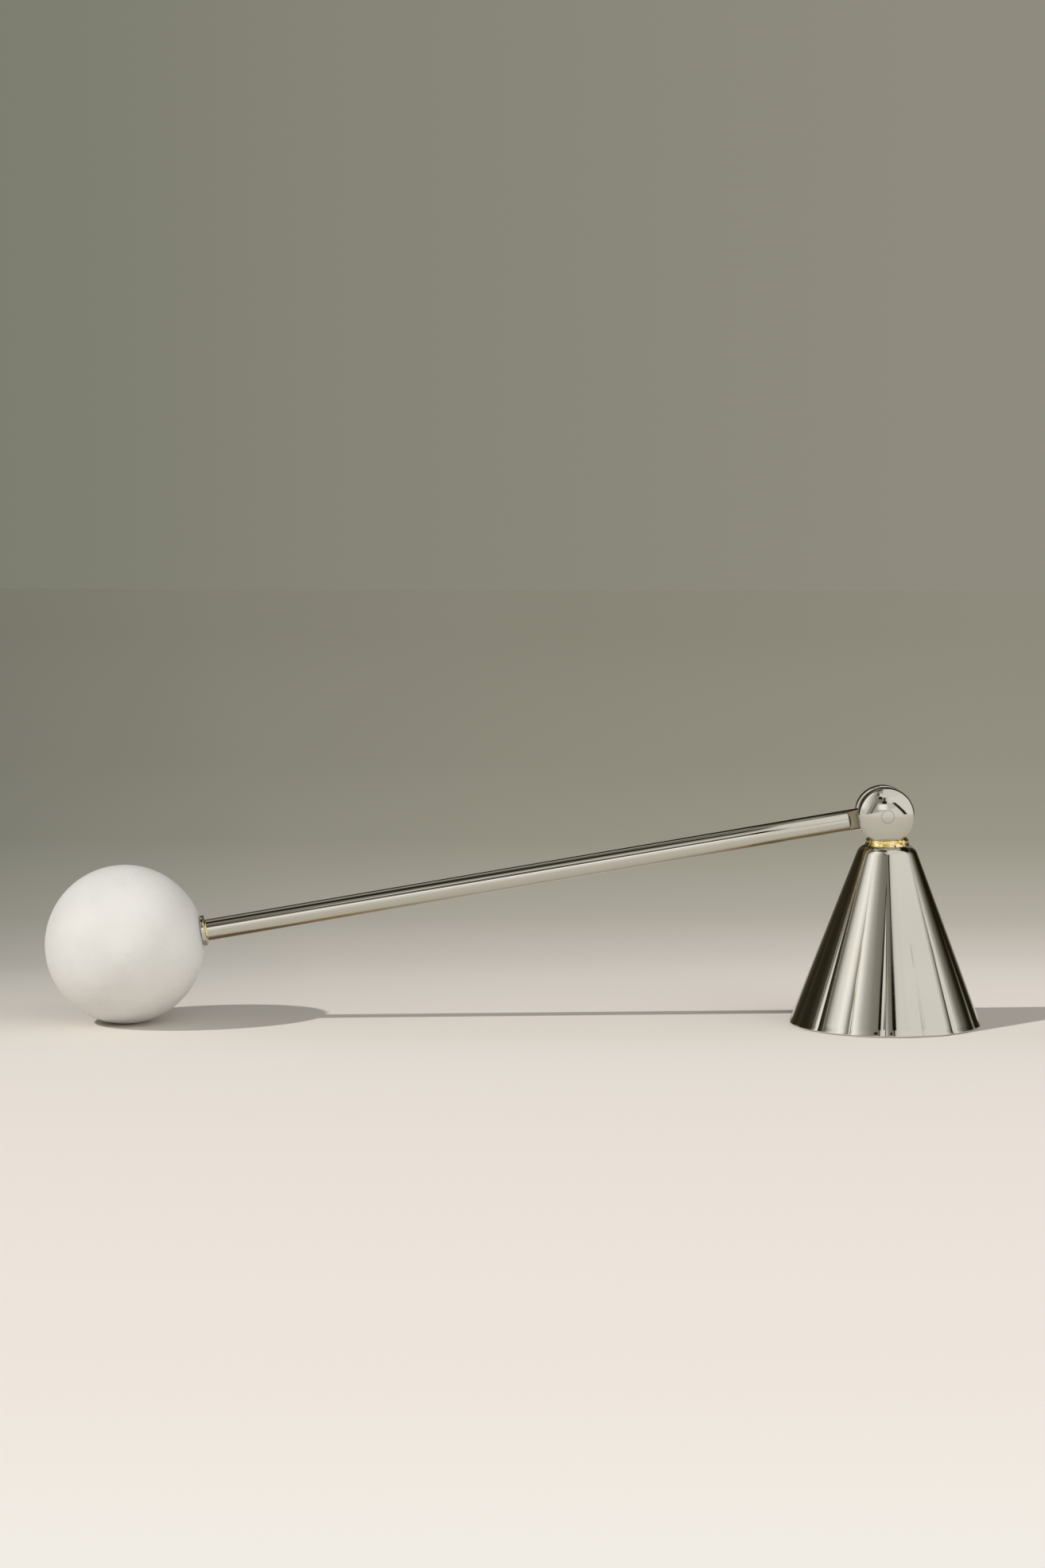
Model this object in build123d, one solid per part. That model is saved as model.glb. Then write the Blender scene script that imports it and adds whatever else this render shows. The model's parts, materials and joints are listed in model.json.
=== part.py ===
from build123d import *
import os
from math import asin, atan2, cos, degrees, radians, sin, sqrt

# Candle snuffer, in millimetres, +Z up. It stands on the rim of its fluted bell, and the
# ball of its handle rests on the same surface. The handle points along -X and swings
# about the Y axis of the hinge pin. The origin is the bottom centre of the whole snuffer.

# Bell: a straight fluted cone with a rounded shoulder and a flat seat on top
bell_rim_radius = 27.35          # over the crests of the flutes
bell_shoulder_radius = 8.4       # where the straight cone ends
bell_shoulder_height = 49.46
bell_shoulder_round = 5.03
bell_seat_margin = 0.02          # of the flat on top, beyond the collar that it carries
bell_wall = 1.0
bell_seat_wall = 1.2
flute_count = 16
flute_depth = 1.15               # at the rim; it fades to nothing at the shoulder

# Collar between the bell and the knuckle
collar_ledge = 0.5               # beyond the knuckle's boss
collar_thickness = 0.8
collar_edge_round = 0.3

# Hinge knuckle: a barrel about the pin's axis with two domed ends, slotted from above
knuckle_radius = 8.0
knuckle_half_barrel = 5.4        # from the middle plane to the edge of a dome
knuckle_dome_height = 2.8
knuckle_dome_edge_round = 0.6
knuckle_flat_depth = 1.1         # cut off the barrel's underside
knuckle_offset = 0.9             # of the barrel from the bell's axis, towards the handle
knuckle_boss_radius = 5.4
slot_width = 3.8
slot_edge_round = 0.3
spigot_radius = 2.0
spigot_end_chamfer = 0.3
spigot_past_nut = 0.6

# Hinge pin, dressed flush with the domes
pin_radius = 1.85
pin_edge_chamfer = 0.12
pin_running_clearance = 0.05

# Fastening inside the bell
fastener_hole_clearance = 0.15
washer_radius = 4.5
washer_thickness = 0.8
lock_washer_radius = 3.4
lock_washer_thickness = 0.9
lock_washer_gap = 0.7
nut_across_flats = 7.0
nut_height = 3.2
nut_corner_cut = 0.35

# Handle rod and its milled tongue
rod_radius = 3.0
tongue_side_clearance = 0.1
tongue_reveal = 1.8              # of the tongue, outside the knuckle
eye_swell = 1.3                  # of the eye, beyond the rod's radius
eye_floor_clearance = 0.6        # between the eye and the slot's floor
rod_end_chamfer = 0.2
pivot_to_ball = 218.5            # pin axis to the ball's centre

# Ferrule, stud and threaded insert at the ball
ferrule_overhang = 1.3           # beyond the rod's radius
ferrule_thickness = 1.4
ferrule_edge_round = 0.4
braze_leg = 0.5                  # fillet of brazing metal between rod and ferrule
stud_radius = 1.5
stud_depth_in_rod = 8.0
stud_depth_in_ball = 9.5
stud_end_chamfer = 0.3
tapped_hole_spare = 1.0
insert_wall = 1.5
insert_spare_depth = 1.7         # of the bore, past the stud
insert_floor = 0.8

# Ball of the handle
ball_radius = 22.5
ball_seat_margin = 0.42          # of the flat that the ferrule seats on, beyond the ferrule

cut_overrun = 2.0

# Sizes and places that follow from those above
collar_radius = knuckle_boss_radius + collar_ledge
bell_seat_radius = collar_radius + bell_seat_margin
knuckle_pin_height = knuckle_radius - knuckle_flat_depth
eye_radius = rod_radius + eye_swell
slot_floor_drop = eye_radius + eye_floor_clearance
tongue_length = knuckle_radius + tongue_reveal
ferrule_radius = rod_radius + ferrule_overhang
ball_seat_radius = ferrule_radius + ball_seat_margin
insert_radius = stud_radius + insert_wall
insert_length = stud_depth_in_ball + insert_spare_depth + insert_floor

cone_angle = atan2(bell_rim_radius - bell_shoulder_radius, bell_shoulder_height)
shoulder_centre_radius = bell_shoulder_radius - bell_shoulder_round * cos(cone_angle)
shoulder_centre_height = bell_shoulder_height - bell_shoulder_round * sin(cone_angle)
bell_seat_height = shoulder_centre_height + sqrt(
    bell_shoulder_round ** 2 - (bell_seat_radius - shoulder_centre_radius) ** 2
)
collar_top = bell_seat_height + collar_thickness
hinge_height = collar_top + knuckle_pin_height
rest_angle = asin((hinge_height - ball_radius) / pivot_to_ball)
ball_reach = pivot_to_ball * cos(rest_angle)
bell_axis_x = (ball_reach + ball_radius + knuckle_offset - bell_rim_radius) / 2
ball_seat_distance = sqrt(ball_radius ** 2 - ball_seat_radius ** 2)
tongue_thickness = slot_width - 2 * tongue_side_clearance
rod_end = pivot_to_ball - ball_seat_distance - ferrule_thickness
inner_seat_height = bell_seat_height - bell_seat_wall
washer_bottom = inner_seat_height - washer_thickness
lock_washer_bottom = washer_bottom - lock_washer_thickness
nut_bottom = lock_washer_bottom - nut_height
fastener_hole_radius = spigot_radius + fastener_hole_clearance


def at_bell(shape):
    """Place a shape that was made around the bell's axis."""
    return Pos(bell_axis_x, 0, 0) * shape


def at_hinge(shape):
    """Place a shape that was made around the hinge centre."""
    return Pos(bell_axis_x - knuckle_offset, 0, hinge_height) * shape


def on_handle(shape):
    """Place a shape that was made along -X from the pin axis, at the rest angle."""
    return at_hinge(Rot(0, -degrees(rest_angle), 0) * shape)


def rod_along_x(radius, near, far):
    """Round bar on the handle's line, between two distances from the pin axis."""
    bar = Cylinder(radius, far - near)
    return Pos(-(near + far) / 2, 0, 0) * Rot(0, 90, 0) * bar


def bar_along_y(radius, length):
    """Round bar on the pin axis, centred on the hinge."""
    return Rot(90, 0, 0) * Cylinder(radius, length)


def ring(outer_radius, inner_radius, bottom, thickness):
    """Flat ring round the bell's axis."""
    outer = Pos(0, 0, bottom) * Cylinder(outer_radius, thickness, align=seated)
    bore_height = thickness + 2 * cut_overrun
    bore = Pos(0, 0, bottom - cut_overrun) * Cylinder(inner_radius, bore_height, align=seated)
    return outer - bore


seated = (Align.CENTER, Align.CENTER, Align.MIN)


def fluted_outline(crest_radius, depth, height):
    """Closed outline of convex flutes, with a crest on each main axis."""
    step = 360 / flute_count
    arcs = []
    for index in range(flute_count):
        crest = index * step
        points = []
        for radius, angle in (
            (crest_radius - depth, crest - step / 2),
            (crest_radius, crest),
            (crest_radius - depth, crest + step / 2),
        ):
            turn = radians(angle)
            points.append((radius * cos(turn), radius * sin(turn), height))
        arcs.append(ThreePointArc(*points))
    return Wire(arcs)


def bell_body(inset, seat_height):
    """Fluted cone and round shoulder, drawn in by inset along the surface's normal."""
    top_radius = bell_shoulder_radius - inset * cos(cone_angle)
    top_height = bell_shoulder_height - inset * sin(cone_angle)
    rim_radius = bell_rim_radius - inset / cos(cone_angle)
    rim = Face(fluted_outline(rim_radius, flute_depth, 0))
    top = Face(fluted_outline(top_radius, 0, top_height))
    cone = loft([rim, top], ruled=True)

    # Shoulder: an arc that leaves the cone without a corner and ends at the flat seat
    arc_radius = bell_shoulder_round - inset
    end_angle = asin((seat_height - shoulder_centre_height) / arc_radius)
    arc_points = []
    for angle in (cone_angle, (cone_angle + end_angle) / 2, end_angle):
        radius = shoulder_centre_radius + arc_radius * cos(angle)
        arc_points.append((radius, 0, shoulder_centre_height + arc_radius * sin(angle)))
    profile = make_face([
        Line((0, 0, top_height), arc_points[0]),
        ThreePointArc(*arc_points),
        Line(arc_points[2], (0, 0, seat_height)),
        Line((0, 0, seat_height), (0, 0, top_height)),
    ])
    return cone + revolve(profile, Axis.Z)


def make_bell():
    """Thin shell with the fixing hole through its top."""
    hole = Pos(0, 0, inner_seat_height) * Cylinder(
        fastener_hole_radius, bell_seat_wall + cut_overrun, align=seated
    )
    shell = bell_body(0, bell_seat_height) - bell_body(bell_wall, inner_seat_height)
    return at_bell(shell - hole)


def make_neck_collar():
    """Low ring with a rounded outer edge."""
    collar = ring(collar_radius, fastener_hole_radius, bell_seat_height, collar_thickness)
    outer_edges = [
        edge for edge in collar.edges().filter_by(GeomType.CIRCLE)
        if edge.radius > fastener_hole_radius
    ]
    return at_bell(fillet(outer_edges, collar_edge_round))


def knuckle_barrel():
    """Barrel about the pin axis with a dome at each end, round the hinge centre."""
    dome_radius = (knuckle_radius ** 2 + knuckle_dome_height ** 2) / (2 * knuckle_dome_height)
    apex = knuckle_half_barrel + knuckle_dome_height
    dome_centre = apex - dome_radius
    middle = asin(knuckle_radius / dome_radius) / 2
    middle_radius = dome_radius * sin(middle)
    middle_y = dome_centre + dome_radius * cos(middle)
    profile = make_face([
        Line((0, -apex, 0), (0, apex, 0)),
        ThreePointArc(
            (0, apex, 0), (middle_radius, middle_y, 0), (knuckle_radius, knuckle_half_barrel, 0)
        ),
        Line((knuckle_radius, knuckle_half_barrel, 0), (knuckle_radius, -knuckle_half_barrel, 0)),
        ThreePointArc(
            (knuckle_radius, -knuckle_half_barrel, 0), (middle_radius, -middle_y, 0), (0, -apex, 0)
        ),
    ])
    barrel = revolve(profile, Axis.Y)
    rims = [
        edge for edge in barrel.edges().filter_by(GeomType.CIRCLE)
        if edge.radius > knuckle_radius - knuckle_dome_edge_round
    ]
    return fillet(rims, knuckle_dome_edge_round)


def make_hinge_knuckle():
    """Slotted barrel on a round boss, with a threaded spigot below."""
    base = -knuckle_pin_height
    boss = Pos(knuckle_offset, 0, base) * Cylinder(
        knuckle_boss_radius, knuckle_pin_height, align=seated
    )
    below = Pos(0, 0, base - 2 * knuckle_radius) * Box(
        4 * knuckle_radius, 4 * knuckle_radius, 2 * knuckle_radius, align=seated
    )
    body = knuckle_barrel() + boss - below
    slot_height = slot_floor_drop + knuckle_radius + cut_overrun
    slot = Pos(0, 0, -slot_floor_drop) * Box(
        2 * (knuckle_radius + cut_overrun), slot_width, slot_height, align=seated
    )
    body = body - slot
    slot_rims = [
        edge for edge in body.edges().filter_by(GeomType.CIRCLE)
        if abs(abs(edge.center(CenterOf.GEOMETRY).Y) - slot_width / 2) < slot_edge_round
    ]
    body = fillet(slot_rims, slot_edge_round)

    spigot_length = collar_top - nut_bottom + spigot_past_nut
    spigot = Pos(knuckle_offset, 0, base - spigot_length) * Cylinder(
        spigot_radius, spigot_length, align=seated
    )
    spigot = chamfer(spigot.edges().group_by(Axis.Z)[0], spigot_end_chamfer)
    pin_hole = bar_along_y(pin_radius, 2 * (knuckle_half_barrel + knuckle_dome_height + cut_overrun))
    return at_hinge(body + spigot - pin_hole)


def make_hinge_pin():
    """Round pin whose ends follow the domes of the knuckle."""
    length = 2 * (knuckle_half_barrel + knuckle_dome_height + cut_overrun)
    pin = knuckle_barrel() & bar_along_y(pin_radius, length)
    ends = pin.edges().filter_by(GeomType.CIRCLE)
    return at_hinge(chamfer(ends, pin_edge_chamfer))


def make_top_washer():
    """Plain washer against the inside of the bell's top."""
    return at_bell(ring(washer_radius, fastener_hole_radius, washer_bottom, washer_thickness))


def make_lock_washer():
    """Split spring washer, pressed flat under the nut."""
    washer = ring(lock_washer_radius, fastener_hole_radius, lock_washer_bottom, lock_washer_thickness)
    split = Pos(0, 0, lock_washer_bottom - cut_overrun) * Box(
        lock_washer_radius + cut_overrun,
        lock_washer_gap,
        lock_washer_thickness + 2 * cut_overrun,
        align=(Align.MIN, Align.CENTER, Align.MIN),
    )
    return at_bell(washer - split)


def make_top_nut():
    """Hexagon nut with its corners turned off at both faces."""
    corner_radius = nut_across_flats / 2 / cos(radians(30))
    hexagon = extrude(RegularPolygon(corner_radius, 6), nut_height)
    turned = chamfer(Cylinder(corner_radius, nut_height, align=seated).edges(), nut_corner_cut)
    bore = Pos(0, 0, -cut_overrun) * Cylinder(
        spigot_radius, nut_height + 2 * cut_overrun, align=seated
    )
    return at_bell(Pos(0, 0, nut_bottom) * ((hexagon & turned) - bore))


def make_handle_rod():
    """Round rod with a milled tongue and eye at the hinge, tapped at the ball's end."""
    rod = chamfer(rod_along_x(rod_radius, 0, rod_end).edges().group_by(Axis.X)[0], rod_end_chamfer)
    slab_side = 2 * rod_radius
    mills = Box(
        tongue_length + eye_radius, slab_side, 2 * slab_side,
        align=(Align.MIN, Align.MIN, Align.CENTER),
    )
    front = Pos(-tongue_length, tongue_thickness / 2, 0) * mills
    rear = Pos(-tongue_length, -tongue_thickness / 2 - slab_side, 0) * mills
    eye = bar_along_y(eye_radius, tongue_thickness)
    pin_hole = bar_along_y(pin_radius + pin_running_clearance, tongue_thickness + cut_overrun)
    tapped = rod_along_x(
        stud_radius, rod_end - stud_depth_in_rod - tapped_hole_spare, rod_end + cut_overrun
    )
    return on_handle(rod - front - rear + eye - pin_hole - tapped)


def make_ferrule():
    """Thin disc with rounded edges between the rod and the ball."""
    disc = rod_along_x(ferrule_radius, rod_end, rod_end + ferrule_thickness)
    disc = fillet(disc.edges().filter_by(GeomType.CIRCLE), ferrule_edge_round)
    hole = rod_along_x(stud_radius, rod_end - cut_overrun, rod_end + ferrule_thickness + cut_overrun)
    return on_handle(disc - hole)


def make_ferrule_braze():
    """Concave fillet of brazing metal round the rod, against the ferrule."""
    face = -rod_end
    lip = rod_radius + braze_leg
    middle = braze_leg * (1 - sqrt(0.5))
    profile = make_face([
        Line((face, rod_radius, 0), (face, lip, 0)),
        ThreePointArc(
            (face, lip, 0), (face + middle, rod_radius + middle, 0), (face + braze_leg, rod_radius, 0)
        ),
        Line((face + braze_leg, rod_radius, 0), (face, rod_radius, 0)),
    ])
    return on_handle(revolve(profile, Axis.X))


def make_ball_stud():
    """Threaded stud from the rod through the ferrule into the insert."""
    near = rod_end - stud_depth_in_rod
    far = rod_end + ferrule_thickness + stud_depth_in_ball
    stud = rod_along_x(stud_radius, near, far)
    return on_handle(chamfer(stud.edges().filter_by(GeomType.CIRCLE), stud_end_chamfer))


def make_ball_insert():
    """Blind threaded bush in the ball."""
    mouth = rod_end + ferrule_thickness
    bush = rod_along_x(insert_radius, mouth, mouth + insert_length)
    bore = rod_along_x(stud_radius, mouth - cut_overrun, mouth + insert_length - insert_floor)
    return on_handle(bush - bore)


def make_handle_ball():
    """Ball with a small flat for the ferrule and a blind hole for the insert."""
    mouth = rod_end + ferrule_thickness
    ball = Pos(-pivot_to_ball, 0, 0) * Sphere(ball_radius)
    flat = rod_along_x(ball_radius, mouth - ball_radius, mouth)
    hole = rod_along_x(insert_radius, mouth - cut_overrun, mouth + insert_length)
    return on_handle(ball - flat - hole)


parts = {
    "bell": make_bell,
    "neck_collar": make_neck_collar,
    "hinge_knuckle": make_hinge_knuckle,
    "hinge_pin": make_hinge_pin,
    "top_washer": make_top_washer,
    "lock_washer": make_lock_washer,
    "top_nut": make_top_nut,
    "handle_rod": make_handle_rod,
    "ferrule": make_ferrule,
    "ferrule_braze": make_ferrule_braze,
    "ball_stud": make_ball_stud,
    "ball_insert": make_ball_insert,
    "handle_ball": make_handle_ball,
}

# The tongue's lower edge meets the edge of the slot's floor at the end of its swing
lowest_angle = degrees(asin(slot_floor_drop / knuckle_radius) - asin(rod_radius / knuckle_radius))

os.makedirs("parts", exist_ok=True)
for name, make in parts.items():
    export_step(make(), f"parts/{name}.step")
print("bell axis", bell_axis_x, "hinge", bell_axis_x - knuckle_offset, hinge_height)
print("rest angle", degrees(rest_angle))
print("ball reach", ball_reach, "slot limit below level", lowest_angle)
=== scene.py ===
import json
from math import acos, asin, atan2, cos, pi, radians, sin, sqrt

import bmesh
import bpy
from mathutils import Matrix, Vector


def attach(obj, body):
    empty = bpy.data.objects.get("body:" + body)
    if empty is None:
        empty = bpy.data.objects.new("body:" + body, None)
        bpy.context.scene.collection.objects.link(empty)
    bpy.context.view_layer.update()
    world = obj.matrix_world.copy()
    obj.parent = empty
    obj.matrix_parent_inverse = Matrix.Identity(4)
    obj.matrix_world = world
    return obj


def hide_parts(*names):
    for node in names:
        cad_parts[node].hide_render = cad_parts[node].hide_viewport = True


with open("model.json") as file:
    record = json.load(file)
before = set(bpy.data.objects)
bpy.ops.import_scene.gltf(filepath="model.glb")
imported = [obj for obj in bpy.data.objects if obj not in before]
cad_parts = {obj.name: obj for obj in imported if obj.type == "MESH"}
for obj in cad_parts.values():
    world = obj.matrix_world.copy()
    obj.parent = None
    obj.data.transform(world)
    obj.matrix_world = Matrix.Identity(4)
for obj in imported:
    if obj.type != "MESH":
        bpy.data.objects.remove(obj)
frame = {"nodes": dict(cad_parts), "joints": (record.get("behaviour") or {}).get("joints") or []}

# The snuffer's own sizes in millimetres, most of them as its source has them
MM = 0.001
BELL_RIM_RADIUS = 27.35
BELL_SHOULDER_RADIUS = 8.4
BELL_SHOULDER_HEIGHT = 49.46
BELL_SHOULDER_ROUND = 5.03
BELL_WALL = 1.0
BELL_SEAT_WALL = 1.2
BELL_TOP = 51.25                # flattened, where the brazing metal stands on it
BELL_TOP_ROUND = 3.6
BELL_TOP_ROUND_END = 80         # degrees from level at which the rounding meets the flat
BELL_TURN = 4.5                 # degrees that the bell stands turned on its spigot
BELL_HOLE_CLEARANCE = 0.15
CONE_STEPS = 44
RIM_ROUND = 0.40
FLUTE_COUNT = 16
FLUTE_CREASE = 0.50             # depth of the creases between the flutes at the rim
FLUTE_FADE = 1.5                # the creases deepen towards the rim by this power
CREASE_SHARPNESS = 4.4          # the drop from crest to crease follows this power
COLLAR_THICKNESS = 0.8
COLLAR_BORE = 2.15
BEAD_WAVES = 11                 # uneven places round the bead of brazing metal
KNUCKLE_RADIUS = 8.0
KNUCKLE_HALF_BARREL = 5.4
KNUCKLE_DOME_HEIGHT = 2.8
KNUCKLE_DOME_EDGE_ROUND = 1.5   # buffed rounder than the plain solid's
KNUCKLE_PIN_HEIGHT = 6.9
KNUCKLE_OFFSET = 0.9
KNUCKLE_BOSS_RADIUS = 5.4
SLOT_HALF_WIDTH = 1.9
SLOT_EDGE_ROUND = 0.6           # buffed too
SLOT_FLOOR_DROP = 4.9
WEB_HALF_WIDTH = 2.6            # the slot's floor runs on into both ears
SPIGOT_RADIUS = 2.0
SPIGOT_PITCH = 0.7
SPIGOT_CHAMFER = 0.3
SPIGOT_PAST_NUT = 0.6
TOP_WASHER_THICKNESS = 0.8
LOCK_WASHER_THICKNESS = 0.9
NUT_HEIGHT = 3.2
PIN_RADIUS = 1.85
PIN_CLEARANCE = 0.05
PIN_EDGE_CHAMFER = 0.12
ROD_RADIUS = 3.0
ROD_EDGE_ROUND = 0.2
TONGUE_HALF_THICKNESS = 1.8
TONGUE_LENGTH = 9.8
TONGUE_OVERLAP = 2              # how far the tongue's bar runs on inside the rod
HAIR = 0.01                     # how far a hidden face keeps clear of a visible one
# The steep chamfer where the rod is cut down to its tongue: (step in from the rod's radius,
# distance past the tongue's end)
ROD_SHOULDER = ((0.18, 0.52), (0.05, 0.66), (0, 0.85))
EYE_RADIUS = 4.3
EYE_EDGE_ROUND = 0.12
PIVOT_TO_BALL = 218.5
FERRULE_RADIUS = 4.3
FERRULE_THICKNESS = 1.4
FERRULE_EDGE_ROUND = 0.4
BRAZE_LEG = 0.34
STUD_RADIUS = 1.5
STUD_BORE_DEPTH = 9
INSERT_RADIUS = 3.0
INSERT_LENGTH = 12.0
BALL_RADIUS = 22.5
BALL_SEAT_RADIUS = 4.72
BALL_STEPS = 120

hinge = frame["joints"][0]["pos_m"]
HINGE_X, HINGE_HEIGHT = hinge[0] / MM, hinge[2] / MM
BELL_AXIS_X = HINGE_X + KNUCKLE_OFFSET
REST_ANGLE = asin((HINGE_HEIGHT - BALL_RADIUS) / PIVOT_TO_BALL)
BELL_SEAT_HEIGHT = HINGE_HEIGHT - KNUCKLE_PIN_HEIGHT - COLLAR_THICKNESS
BALL_SEAT_DISTANCE = sqrt(BALL_RADIUS ** 2 - BALL_SEAT_RADIUS ** 2)
ROD_END = PIVOT_TO_BALL - BALL_SEAT_DISTANCE - FERRULE_THICKNESS
UNDER_SEAT = BELL_SEAT_HEIGHT - BELL_SEAT_WALL
NUT_BOTTOM = UNDER_SEAT - TOP_WASHER_THICKNESS - LOCK_WASHER_THICKNESS - NUT_HEIGHT

to_metres = Matrix.Scale(MM, 4)
at_bell = to_metres @ Matrix.Translation((BELL_AXIS_X, 0, 0))
at_hinge = to_metres @ Matrix.Translation((HINGE_X, 0, HINGE_HEIGHT))
on_handle = at_hinge @ Matrix.Rotation(-REST_ANGLE, 4, "Y")
along_handle = on_handle @ Matrix.Rotation(-pi / 2, 4, "Y")     # +Z turned to run to the ball
along_pin = Matrix.Rotation(-pi / 2, 4, "X")                    # +Z turned to +Y

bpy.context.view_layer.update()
scene = bpy.context.scene
scene.view_settings.view_transform = "Standard"


# ---------------------------------------------------------------- node helpers
def linear(red, green, blue):
    """Linear colour of an 8-bit display colour."""
    channels = []
    for value in (red, green, blue):
        value /= 255
        channels.append(value / 12.92 if value <= 0.04045 else ((value + 0.055) / 1.055) ** 2.4)
    return channels


def add(tree, kind, inputs=None, **settings):
    """New node; inputs maps a socket's name or number to a value or another node's output."""
    node = tree.nodes.new(kind)
    for name, value in settings.items():
        setattr(node, name, value)
    for key, value in (inputs or {}).items():
        socket = node.inputs[key]
        if isinstance(value, bpy.types.NodeSocket):
            tree.links.new(value, socket)
        else:
            socket.default_value = value
    return node


def math(tree, operation, *values):
    return add(tree, "ShaderNodeMath", dict(enumerate(values)), operation=operation).outputs[0]


def ramp(tree, value, stops):
    """Colour ramp; stops are (position, linear colour or grey level)."""
    node = add(tree, "ShaderNodeValToRGB", {0: value})
    band = node.color_ramp
    for index, (place, colour) in enumerate(stops):
        if index < 2:
            stop = band.elements[index]
            stop.position = place
        else:
            stop = band.elements.new(place)
        if isinstance(colour, (int, float)):
            colour = (colour, colour, colour)
        stop.color = (*colour, 1)
    return node.outputs[0]


def blend_colours(tree, amount, first, second, mode="MIX"):
    node = add(tree, "ShaderNodeMix", data_type="RGBA", blend_type=mode)
    for number, value in ((0, amount), (6, first), (7, second)):
        socket = node.inputs[number]
        if isinstance(value, bpy.types.NodeSocket):
            tree.links.new(value, socket)
        elif isinstance(value, (int, float)):
            socket.default_value = value
        else:
            socket.default_value = (*value, 1)
    return node.outputs[2]


def level(tree, value, low, high, to_low=0.0, to_high=1.0, smooth=False):
    """Map a value from one range to another, held inside it."""
    return add(
        tree, "ShaderNodeMapRange",
        {"Value": value, "From Min": low, "From Max": high, "To Min": to_low, "To Max": to_high},
        interpolation_type="SMOOTHSTEP" if smooth else "LINEAR",
    ).outputs["Result"]


def noise(tree, place, scale, detail=3.0, roughness=0.55, distortion=0.0):
    return add(
        tree, "ShaderNodeTexNoise",
        {"Vector": place, "Scale": scale, "Detail": detail, "Roughness": roughness,
         "Distortion": distortion},
    ).outputs["Fac"]


def bump(tree, height, distance_mm, under=None):
    """Bump of a height pattern, laid over another bump where one is given."""
    inputs = {"Height": height, "Distance": distance_mm * MM, "Strength": 1.0}
    if under is not None:
        inputs["Normal"] = under
    return add(tree, "ShaderNodeBump", inputs).outputs[0]


# ---------------------------------------------------------------- materials
def finish(name):
    """New material with its shader; returns the material, its tree and the shader."""
    material = bpy.data.materials.new(name)
    material.use_nodes = True
    tree = material.node_tree
    return material, tree, tree.nodes["Principled BSDF"]


def piece_space(tree, centre_mm, turn=(0, 0, 0), stretch=(1, 1, 1)):
    """Object coordinates centred on a piece, turned to it, and stretched for streaks."""
    own = add(tree, "ShaderNodeTexCoord").outputs["Object"]
    return add(
        tree, "ShaderNodeMapping",
        {"Vector": own, "Location": [value * MM for value in centre_mm], "Rotation": turn,
         "Scale": stretch},
        vector_type="TEXTURE",
    ).outputs["Vector"]


NICKEL = (0.585, 0.58, 0.525)
DULL_SPECKS = (0.36, 0.31, 0.23)
# Brass tone laid on as painted shade and reflection, in the bell's creases and under the rod
PAINTED_SHADE_BRASS = (0.30, 0.205, 0.075)
PITTED_BRASS = (0.05, 0.035, 0.018)
ZINC_LIGHT, ZINC_DARK = (0.70, 0.71, 0.72), (0.52, 0.53, 0.54)
BUSH_LIGHT, BUSH_DARK = (0.74, 0.60, 0.33), (0.56, 0.43, 0.2)


def painted_crease_shade(tree, even):
    """Painted warm shade and reflection in patches along the creases between the bell's flutes,
    lower on the bell.
    """
    axes = add(tree, "ShaderNodeSeparateXYZ", {0: even}).outputs
    angle = math(tree, "ARCTAN2", axes["Y"], axes["X"])
    half = pi / FLUTE_COUNT
    from_crest = math(tree, "ABSOLUTE", math(tree, "WRAP", angle, half, -half))
    near = level(tree, from_crest, half * 0.93, half * 0.995)
    patch = level(tree, noise(tree, even, 55, 2), 0.50, 0.64)
    lower = level(tree, axes["Z"], -12 * MM, -26 * MM)
    return math(tree, "MULTIPLY", near, math(tree, "MULTIPLY", patch, lower))


def painted_underside_reflection(tree, even):
    """Painted dark brown reflection along the underside of the rod, strongest near its ends."""
    axes = add(tree, "ShaderNodeSeparateXYZ", {0: even}).outputs
    under = level(tree, axes["Z"], -0.56 * ROD_RADIUS * MM, -0.72 * ROD_RADIUS * MM, smooth=True)
    share = math(tree, "DIVIDE", axes["X"], 190 * MM)
    from_middle = math(tree, "ABSOLUTE", math(tree, "ADD", share, 0.5))
    strength = level(tree, from_middle, 0.10, 0.36, 0.2, 1.0, smooth=True)
    patch = level(tree, noise(tree, even, 60, 2), 0.30, 0.55, 0.7, 1.0)
    return math(tree, "MULTIPLY", under, math(tree, "MULTIPLY", strength, patch))


def polished_nickel(name, centre_mm, turn, stretch, waviness, painted_shade=None):
    """Warm polished nickel: faint tone drift, streaked polish, hairlines and a slight waviness."""
    material, tree, shader = finish(name)
    even = piece_space(tree, centre_mm, turn)
    streaked = piece_space(tree, centre_mm, turn, stretch)
    drift = noise(tree, even, 45, 3)
    darker = [value * 0.955 for value in NICKEL]
    tone = ramp(tree, drift, [(0.3, darker), (0.7, NICKEL)])
    specks = level(tree, noise(tree, even, 900, 2), 0.68, 0.78)
    tone = blend_colours(tree, math(tree, "MULTIPLY", specks, 0.14), tone, DULL_SPECKS)
    # Painted shade and reflection in brass, where a mask for it is given
    if painted_shade:
        tone = blend_colours(tree, painted_shade(tree, even), tone, PAINTED_SHADE_BRASS)
    tree.links.new(tone, shader.inputs["Base Color"])
    shader.inputs["Metallic"].default_value = 1.0
    marks = noise(tree, streaked, 900, 3, 0.5)
    hazy = level(tree, noise(tree, even, 130, 3), 0.35, 0.75, 0.0, 0.02)
    rough = math(tree, "ADD", level(tree, marks, 0.3, 0.75, 0.02, 0.05), hazy)
    tree.links.new(rough, shader.inputs["Roughness"])
    waves = bump(tree, noise(tree, even, 85, 1.0), waviness)
    tree.links.new(bump(tree, marks, 0.0007, waves), shader.inputs["Normal"])
    return material


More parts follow.
